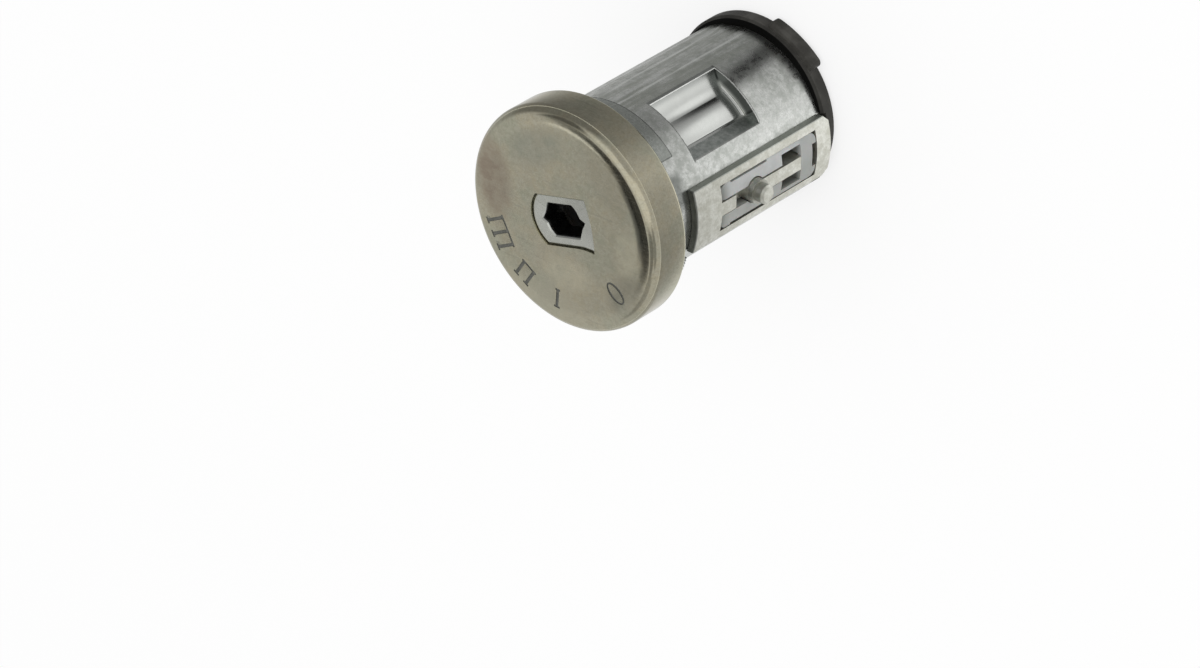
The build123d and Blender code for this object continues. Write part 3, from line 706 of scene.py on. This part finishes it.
def soft_patch(tree, place, centre, half_sizes, turn_by):
    """Mask that is 1 in the middle of an oval seen along Z and fades to its edge."""
    oval = add_node(
        tree, "ShaderNodeMapping",
        {
            "Vector": place,
            "Location": (*centre, 0),
            "Rotation": (0, 0, radians(turn_by)),
            "Scale": (*half_sizes, 1000),
        },
        vector_type="TEXTURE",
    )
    fall = add_node(
        tree, "ShaderNodeTexGradient", {"Vector": oval.outputs["Vector"]},
        gradient_type="SPHERICAL",
    )
    return add_node(
        tree, "ShaderNodeMapRange", {"Value": fall.outputs["Fac"], "From Max": 0.6},
        interpolation_type="SMOOTHSTEP",
    ).outputs["Result"]


stainless, tree, shader, place = start_material("brushed_stainless", Metallic=1.0)
at = place_group(tree, axis_place, {"Vector": place})
stain = cloud_mask(tree, place, 150.0, 0.40, 0.60)
mottle = cloud_mask(tree, place, 480.0, 0.38, 0.62)
grain = cloud_mask(tree, place, 4200.0, 0.30, 0.70)
weave = cloud_mask(tree, place, 1700.0, 0.34, 0.66)
brushing = streak_mask(tree, place, (0.10, 1.0, 1.0), 5200.0, 0.3, 0.7, turn_by=28)
scratches = streak_mask(tree, place, (0.035, 1.0, 1.0), 2300.0, 0.64, 0.72, turn_by=-52)
tone = blend_colours(tree, stain, steel_green, steel_brown)
tone = tint(tree, tone, mottle, 0.55, mottle_warm)
tone = tint(tree, tone, grain, 0.38, grain_brown)
tone = tint(tree, tone, weave, 0.36, weave_pale)

# Handling has left a brown patch at one side, pale ones below the marks and a few smudges.
for centre, half_sizes, turn_by, share, patch_tone in face_patches:
    patch = soft_patch(tree, place, centre, half_sizes, turn_by)
    tone = tint(tree, tone, patch, spread(tree, mottle, share, 0.6 * share), patch_tone)
tone = tint(tree, tone, scratches, 0.22, scratch_dark)
tone = tint(tree, tone, brushing, 0.12, brush_pale)

# Painted reflection: the rolled edge's inner side towards the latch is darkened, for a dark
# reflection.
roll = region(tree, at, radius=roll_radii, azimuth=roll_azimuths, level=roll_levels)
tone = tint(tree, tone, roll, 0.78, roll_dark_reflection)
tree.links.new(tone, shader.inputs["Base Color"])

# The rolled edge and the skirt are polished by wear, the face is duller.
dull_face = region(tree, at, radius=dull_face_radii)
rough = blend_values(
    tree, dull_face, spread(tree, brushing, 0.09, 0.14), spread(tree, brushing, 0.17, 0.26)
)
tree.links.new(rough, shader.inputs["Roughness"])
brushed = bump(tree, multiply(tree, brushing, dull_face), brush_depth)
tree.links.new(brushed, shader.inputs["Normal"])


def mark_place(azimuth, radius, across):
    """Point on the face at a mark's azimuth, moved across it."""
    a = radians(azimuth)
    outward = Vector((cos(a), sin(a), 0))
    sideways = Vector((-sin(a), cos(a), 0))
    return outward * radius + sideways * across + Vector((0, 0, face_level))


def cut_bar(azimuth, radius, across, length, width):
    """Cutter for one straight line of a mark, long in the radial direction."""
    deselect()
    bpy.ops.mesh.primitive_cube_add(
        size=1.0, location=mark_place(azimuth, radius, across), rotation=(0, 0, radians(azimuth))
    )
    bar = bpy.context.object
    bar.scale = (length, width, 2 * mark_depth)
    bpy.ops.object.transform_apply(location=True, rotation=True, scale=True)
    bar.data.materials.append(etched)
    return bar


def cut_oval(azimuth, radius, length, width, depth):
    """Cutter for an oval, long in the radial direction."""
    deselect()
    bpy.ops.mesh.primitive_cylinder_add(
        vertices=48, radius=0.5, depth=1.0, location=mark_place(azimuth, radius, 0.0),
        rotation=(0, 0, radians(azimuth)),
    )
    oval = bpy.context.object
    oval.scale = (length, width, 2 * depth)
    bpy.ops.object.transform_apply(location=True, rotation=True, scale=True)
    oval.data.materials.append(etched)
    return oval


cap = merged_copy("face_cap", "marked_cap", stainless)
for mark in (one_mark, two_mark, three_mark):
    azimuth, radius, stem, pitch = (mark[key] for key in ("azimuth", "radius", "stem", "pitch"))
    inner = radius - stem / 2
    outer = radius + stem / 2
    lines = []
    for n in range(mark["count"]):
        across = (n - (mark["count"] - 1) / 2) * pitch
        lines.append(cut_bar(azimuth, radius, across, stem, stem_width))
        lines.append(cut_bar(azimuth, outer, across, serif_width, serif_length))
    joined = (mark["count"] - 1) * pitch + serif_past_stems
    lines.append(cut_bar(azimuth, inner, 0.0, serif_width, joined))
    mark_cutter = lines[0]
    for line in lines[1:]:
        apply_boolean(mark_cutter, line, "UNION")
    apply_boolean(cap, mark_cutter, "DIFFERENCE")

zero_cutter = cut_oval(zero_azimuth, zero_radius, *zero_size, mark_depth)
zero_core = cut_oval(
    zero_azimuth, zero_radius,
    zero_size[0] - 2 * zero_line[0], zero_size[1] - 2 * zero_line[1], 1.5 * mark_depth,
)
apply_boolean(zero_cutter, zero_core, "DIFFERENCE")
apply_boolean(cap, zero_cutter, "DIFFERENCE")
keep_selected(cap)
bpy.ops.object.shade_smooth_by_angle(angle=radians(24))
modifier = cap.modifiers.new("flat_faces", "WEIGHTED_NORMAL")
modifier.weight = 100
modifier.keep_sharp = True
bpy.ops.object.modifier_apply(modifier="flat_faces")
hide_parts("face_cap")
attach(cap, "casing")

# Camera: above the marked face, towards the latch side.
# The photograph shows the lock from about 0.8 m with a long lens, turned so that
# its axis runs up to the right.
photo_size = (1200, 668)
face_centre_pixel = (561.8, 221.8)
lens = 162.3
sensor = 36.0
camera_distance = 0.7872
camera_azimuth = radians(43.0)
camera_tilt = radians(40.02)
camera_roll = radians(-121.28)

face_centre = Vector((0, 0, face_level))
camera_turn = (
    Matrix.Rotation(camera_azimuth + pi / 2, 3, "Z")
    @ Matrix.Rotation(pi / 2 - camera_tilt, 3, "X")
    @ Matrix.Rotation(camera_roll, 3, "Z")
)
pixels_per_radian = lens / sensor * photo_size[0]
face_in_view = Vector((
    (face_centre_pixel[0] - photo_size[0] / 2) / pixels_per_radian,
    (photo_size[1] / 2 - face_centre_pixel[1]) / pixels_per_radian,
    -1.0,
)) * camera_distance
camera = bpy.data.objects.new("camera", bpy.data.cameras.new("camera"))
camera.data.lens = lens
camera.data.sensor_width = sensor
camera.data.clip_start = 0.05
camera.data.clip_end = 20.0
camera.matrix_world = (
    Matrix.Translation(face_centre - camera_turn @ face_in_view) @ camera_turn.to_4x4()
)
bpy.context.scene.collection.objects.link(camera)
bpy.context.scene.camera = camera
bpy.context.scene.view_settings.view_transform = "Standard"

# Floor and light: a pale floor, an even pale sky and one soft light over the lock.
# What the camera sees of floor and sky is white, but for the lock's soft shadow.
floor_size = 12.0
floor_level = -0.0003
floor_pale = (0.93, 0.93, 0.93, 1)
floor_glow = 1.06
floor_glow_share = 0.72
sky_low = 0.36
sky_high = 0.92

deselect()
bpy.ops.mesh.primitive_plane_add(size=floor_size, location=(0, 0, floor_level))
floor = bpy.context.object
floor.name = "floor"
floor_paint, tree, shader, place = start_material(
    "floor_paint", Roughness=0.9, Specular_IOR_Level=0.0, Base_Color=floor_pale
)
path = tree.nodes.new("ShaderNodeLightPath")
white = add_node(tree, "ShaderNodeEmission", {"Strength": floor_glow})
share = multiply(tree, path.outputs["Is Camera Ray"], floor_glow_share)
mix = add_node(
    tree, "ShaderNodeMixShader", {0: share, 1: shader.outputs["BSDF"], 2: white.outputs[0]}
)
output = next(n for n in tree.nodes if n.type == "OUTPUT_MATERIAL")
tree.links.new(mix.outputs[0], output.inputs["Surface"])
floor.data.materials.append(floor_paint)

world = bpy.data.worlds.new("studio")
bpy.context.scene.world = world
world.use_nodes = True
tree = world.node_tree
tree.nodes.clear()
ray = add_node(tree, "ShaderNodeNewGeometry").outputs["Position"]
up = add_node(tree, "ShaderNodeSeparateXYZ", {"Vector": ray}).outputs["Z"]
path = tree.nodes.new("ShaderNodeLightPath")
strength = spread(tree, up, sky_low, sky_high)
strength = blend_values(tree, path.outputs["Is Camera Ray"], strength, 1.0)
sky = add_node(tree, "ShaderNodeBackground", {"Color": (1, 1, 1, 1), "Strength": strength})
output = tree.nodes.new("ShaderNodeOutputWorld")
tree.links.new(sky.outputs[0], output.inputs["Surface"])

lamp_azimuth = radians(43.0)
lamp_elevation = radians(68.0)
lamp_distance = 1.2
lamp = bpy.data.objects.new("key", bpy.data.lights.new("key", "AREA"))
lamp.data.shape = "RECTANGLE"
lamp.data.size = 1.1
lamp.data.size_y = 1.0
lamp.data.energy = 3.0
lamp_direction = Vector((
    cos(lamp_azimuth) * cos(lamp_elevation), sin(lamp_azimuth) * cos(lamp_elevation),
    sin(lamp_elevation),
))
lamp.location = face_centre + lamp_direction * lamp_distance
lamp.rotation_mode = "QUATERNION"
lamp.rotation_quaternion = lamp_direction.to_track_quat("Z", "Y")
lamp.visible_glossy = False
bpy.context.scene.collection.objects.link(lamp)

# High card: a dome round the lock that only its metal sees, for the studio's walls and roof.
# It is even but for a bright top, a darker wall and a few strips.
dome_radius = 0.6
dome_tone = 0.56
# Each patch has its azimuth, elevation, half width, half height and tone.
dome_patches = (
    (50, 76, 36, 32, 0.78),
    (22, 50, 30, 28, 0.82),
    (60, 32, 20, 30, 0.46),
    (130, 18, 80, 44, 0.20),
    (163, 55, 26, 13, 0.12),
    (268, 42, 24, 15, 0.36),
    (292, 60, 26, 13, 0.24),
    (330, 42, 22, 14, 0.30),
    (205, 53, 13, 7, 0.24),
    (225, 53, 12, 12.5, 0.05),
    (215, 46.5, 3.5, 3.0, 1.0),
)


def emission_material(name):
    """A material that glows, its shader and its Object coordinates."""
    material = bpy.data.materials.new(name)
    material.use_nodes = True
    tree = material.node_tree
    tree.nodes.clear()
    light = add_node(tree, "ShaderNodeEmission", {"Strength": 1.0})
    output = tree.nodes.new("ShaderNodeOutputMaterial")
    tree.links.new(light.outputs[0], output.inputs["Surface"])
    place = tree.nodes.new("ShaderNodeTexCoord").outputs["Object"]
    return material, tree, light, place


def only_in_reflections(card):
    """Keep a card out of the picture, the shadows and the soft light."""
    card.visible_camera = False
    card.visible_diffuse = False
    card.visible_shadow = False
    card.visible_transmission = False


def grey(level):
    """Grey of a level, as a colour."""
    return (level, level, level, 1)


def dome_patch(tree, place, azimuth, elevation, half_width, half_height):
    """Mask for an oval round a direction, its half sizes in degrees."""
    turned = add_node(
        tree, "ShaderNodeVectorRotate",
        {"Vector": place, "Rotation": (0, radians(-elevation), radians(azimuth))},
        rotation_type="EULER_XYZ", invert=True,
    ).outputs["Vector"]
    oval = add_node(
        tree, "ShaderNodeMapping",
        {
            "Vector": turned,
            "Scale": (
                0.0001,
                1 / (dome_radius * sin(radians(half_width))),
                1 / (dome_radius * sin(radians(half_height))),
            ),
        },
    )
    fall = add_node(
        tree, "ShaderNodeTexGradient", {"Vector": oval.outputs["Vector"]},
        gradient_type="SPHERICAL",
    )
    soft = add_node(
        tree, "ShaderNodeMapRange", {"Value": fall.outputs["Fac"], "From Max": 0.45},
        interpolation_type="SMOOTHSTEP",
    )
    # The oval would show on the dome's far side as well.
    near = add_node(tree, "ShaderNodeSeparateXYZ", {"Vector": turned}).outputs["X"]
    near = add_node(
        tree, "ShaderNodeMapRange", {"Value": near, "From Min": -0.02, "From Max": 0.06}
    )
    return multiply(tree, near.outputs["Result"], soft.outputs["Result"])


deselect()
bpy.ops.mesh.primitive_uv_sphere_add(
    segments=48, ring_count=24, radius=dome_radius, location=face_centre
)
high_card = bpy.context.object
high_card.name = "high_card"
material, tree, light, place = emission_material("high_card")
tone = grey(dome_tone)
for azimuth, elevation, half_width, half_height, level in dome_patches:
    patch = dome_patch(tree, place, azimuth, elevation, half_width, half_height)
    tone = blend_colours(tree, patch, tone, grey(level))
tree.links.new(tone, light.inputs["Color"])
high_card.data.materials.append(material)
only_in_reflections(high_card)

# Low card: a sheet just over the floor that only the metal sees.
# Its tone changes round the lock, and beyond 53 to 61 mm from the axis it follows other tones.
near_tones = [
    (10, 1.08), (20, 1.0), (30, 0.87), (46, 0.72), (56, 0.62), (64, 0.48), (71, 0.34), (80, 0.29),
    (98, 0.33), (115, 0.37), (135, 0.40), (148, 0.44), (160, 0.50), (172, 0.60), (190, 0.72),
    (260, 0.75), (290, 0.85), (345, 0.95),
]
far_tones = [
    (3, 0.42), (20, 0.44), (38, 0.56), (55, 0.47), (72, 0.30), (90, 0.24), (107, 0.20),
    (125, 0.19), (143, 0.19), (160, 0.25), (179, 0.46), (200, 0.60), (257, 0.58), (275, 0.50),
    (293, 0.44), (311, 0.37), (328, 0.34), (346, 0.36),
]
card_radius = 0.3
card_level = -0.0001
near_end = 0.053
far_start = 0.061
# Each spot has its centre, half sizes, turn and tone.
card_spots = (
    ((0.0205, 0.0300), (0.009, 0.007), 55, 0.98),
    ((0.0070, 0.0282), (0.017, 0.0050), 76, 0.0),
)


def tone_ramp(tree, share_of_turn, tones):
    """Tone by azimuth, joined smoothly round the full turn."""
    ramp = add_node(tree, "ShaderNodeValToRGB", {"Fac": share_of_turn})
    ramp.color_ramp.interpolation = "LINEAR"
    points = ramp.color_ramp.elements
    while len(points) > 1:
        points.remove(points[-1])
    first, last = tones[0], tones[-1]
    share = (360 - last[0]) / (360 - last[0] + first[0])
    seam = last[1] + (first[1] - last[1]) * share
    points[0].position = 0.0
    points[0].color = grey(seam)
    for azimuth, tone in tones + [(360, seam)]:
        points.new(azimuth / 360).color = grey(tone)
    return ramp.outputs["Color"]


deselect()
bpy.ops.mesh.primitive_circle_add(
    vertices=96, radius=card_radius, fill_type="NGON", location=(0, 0, card_level)
)
low_card = bpy.context.object
low_card.name = "low_card"
material, tree, light, place = emission_material("low_card")
axes = add_node(tree, "ShaderNodeSeparateXYZ", {"Vector": place}).outputs
angle = add_node(tree, "ShaderNodeMath", {0: axes["Y"], 1: axes["X"]}, operation="ARCTAN2")
turns = add_node(tree, "ShaderNodeMath", {0: angle.outputs[0], 1: 2 * pi}, operation="DIVIDE")
turns = add_node(
    tree, "ShaderNodeMath", {0: turns.outputs[0], 1: 1.0, 2: 0.0}, operation="WRAP"
)
distance = add_node(tree, "ShaderNodeVectorMath", {0: place}, operation="LENGTH")
beyond = add_node(
    tree, "ShaderNodeMapRange",
    {"Value": distance.outputs["Value"], "From Min": near_end, "From Max": far_start},
    interpolation_type="SMOOTHSTEP",
)
tone = blend_colours(
    tree, beyond.outputs["Result"],
    tone_ramp(tree, turns.outputs[0], near_tones),
    tone_ramp(tree, turns.outputs[0], far_tones),
)
for centre, half_sizes, turn_by, spot_tone in card_spots:
    spot = soft_patch(tree, place, centre, half_sizes, turn_by)
    tone = blend_colours(tree, spot, tone, grey(spot_tone))
tree.links.new(tone, light.inputs["Color"])
low_card.data.materials.append(material)
only_in_reflections(low_card)
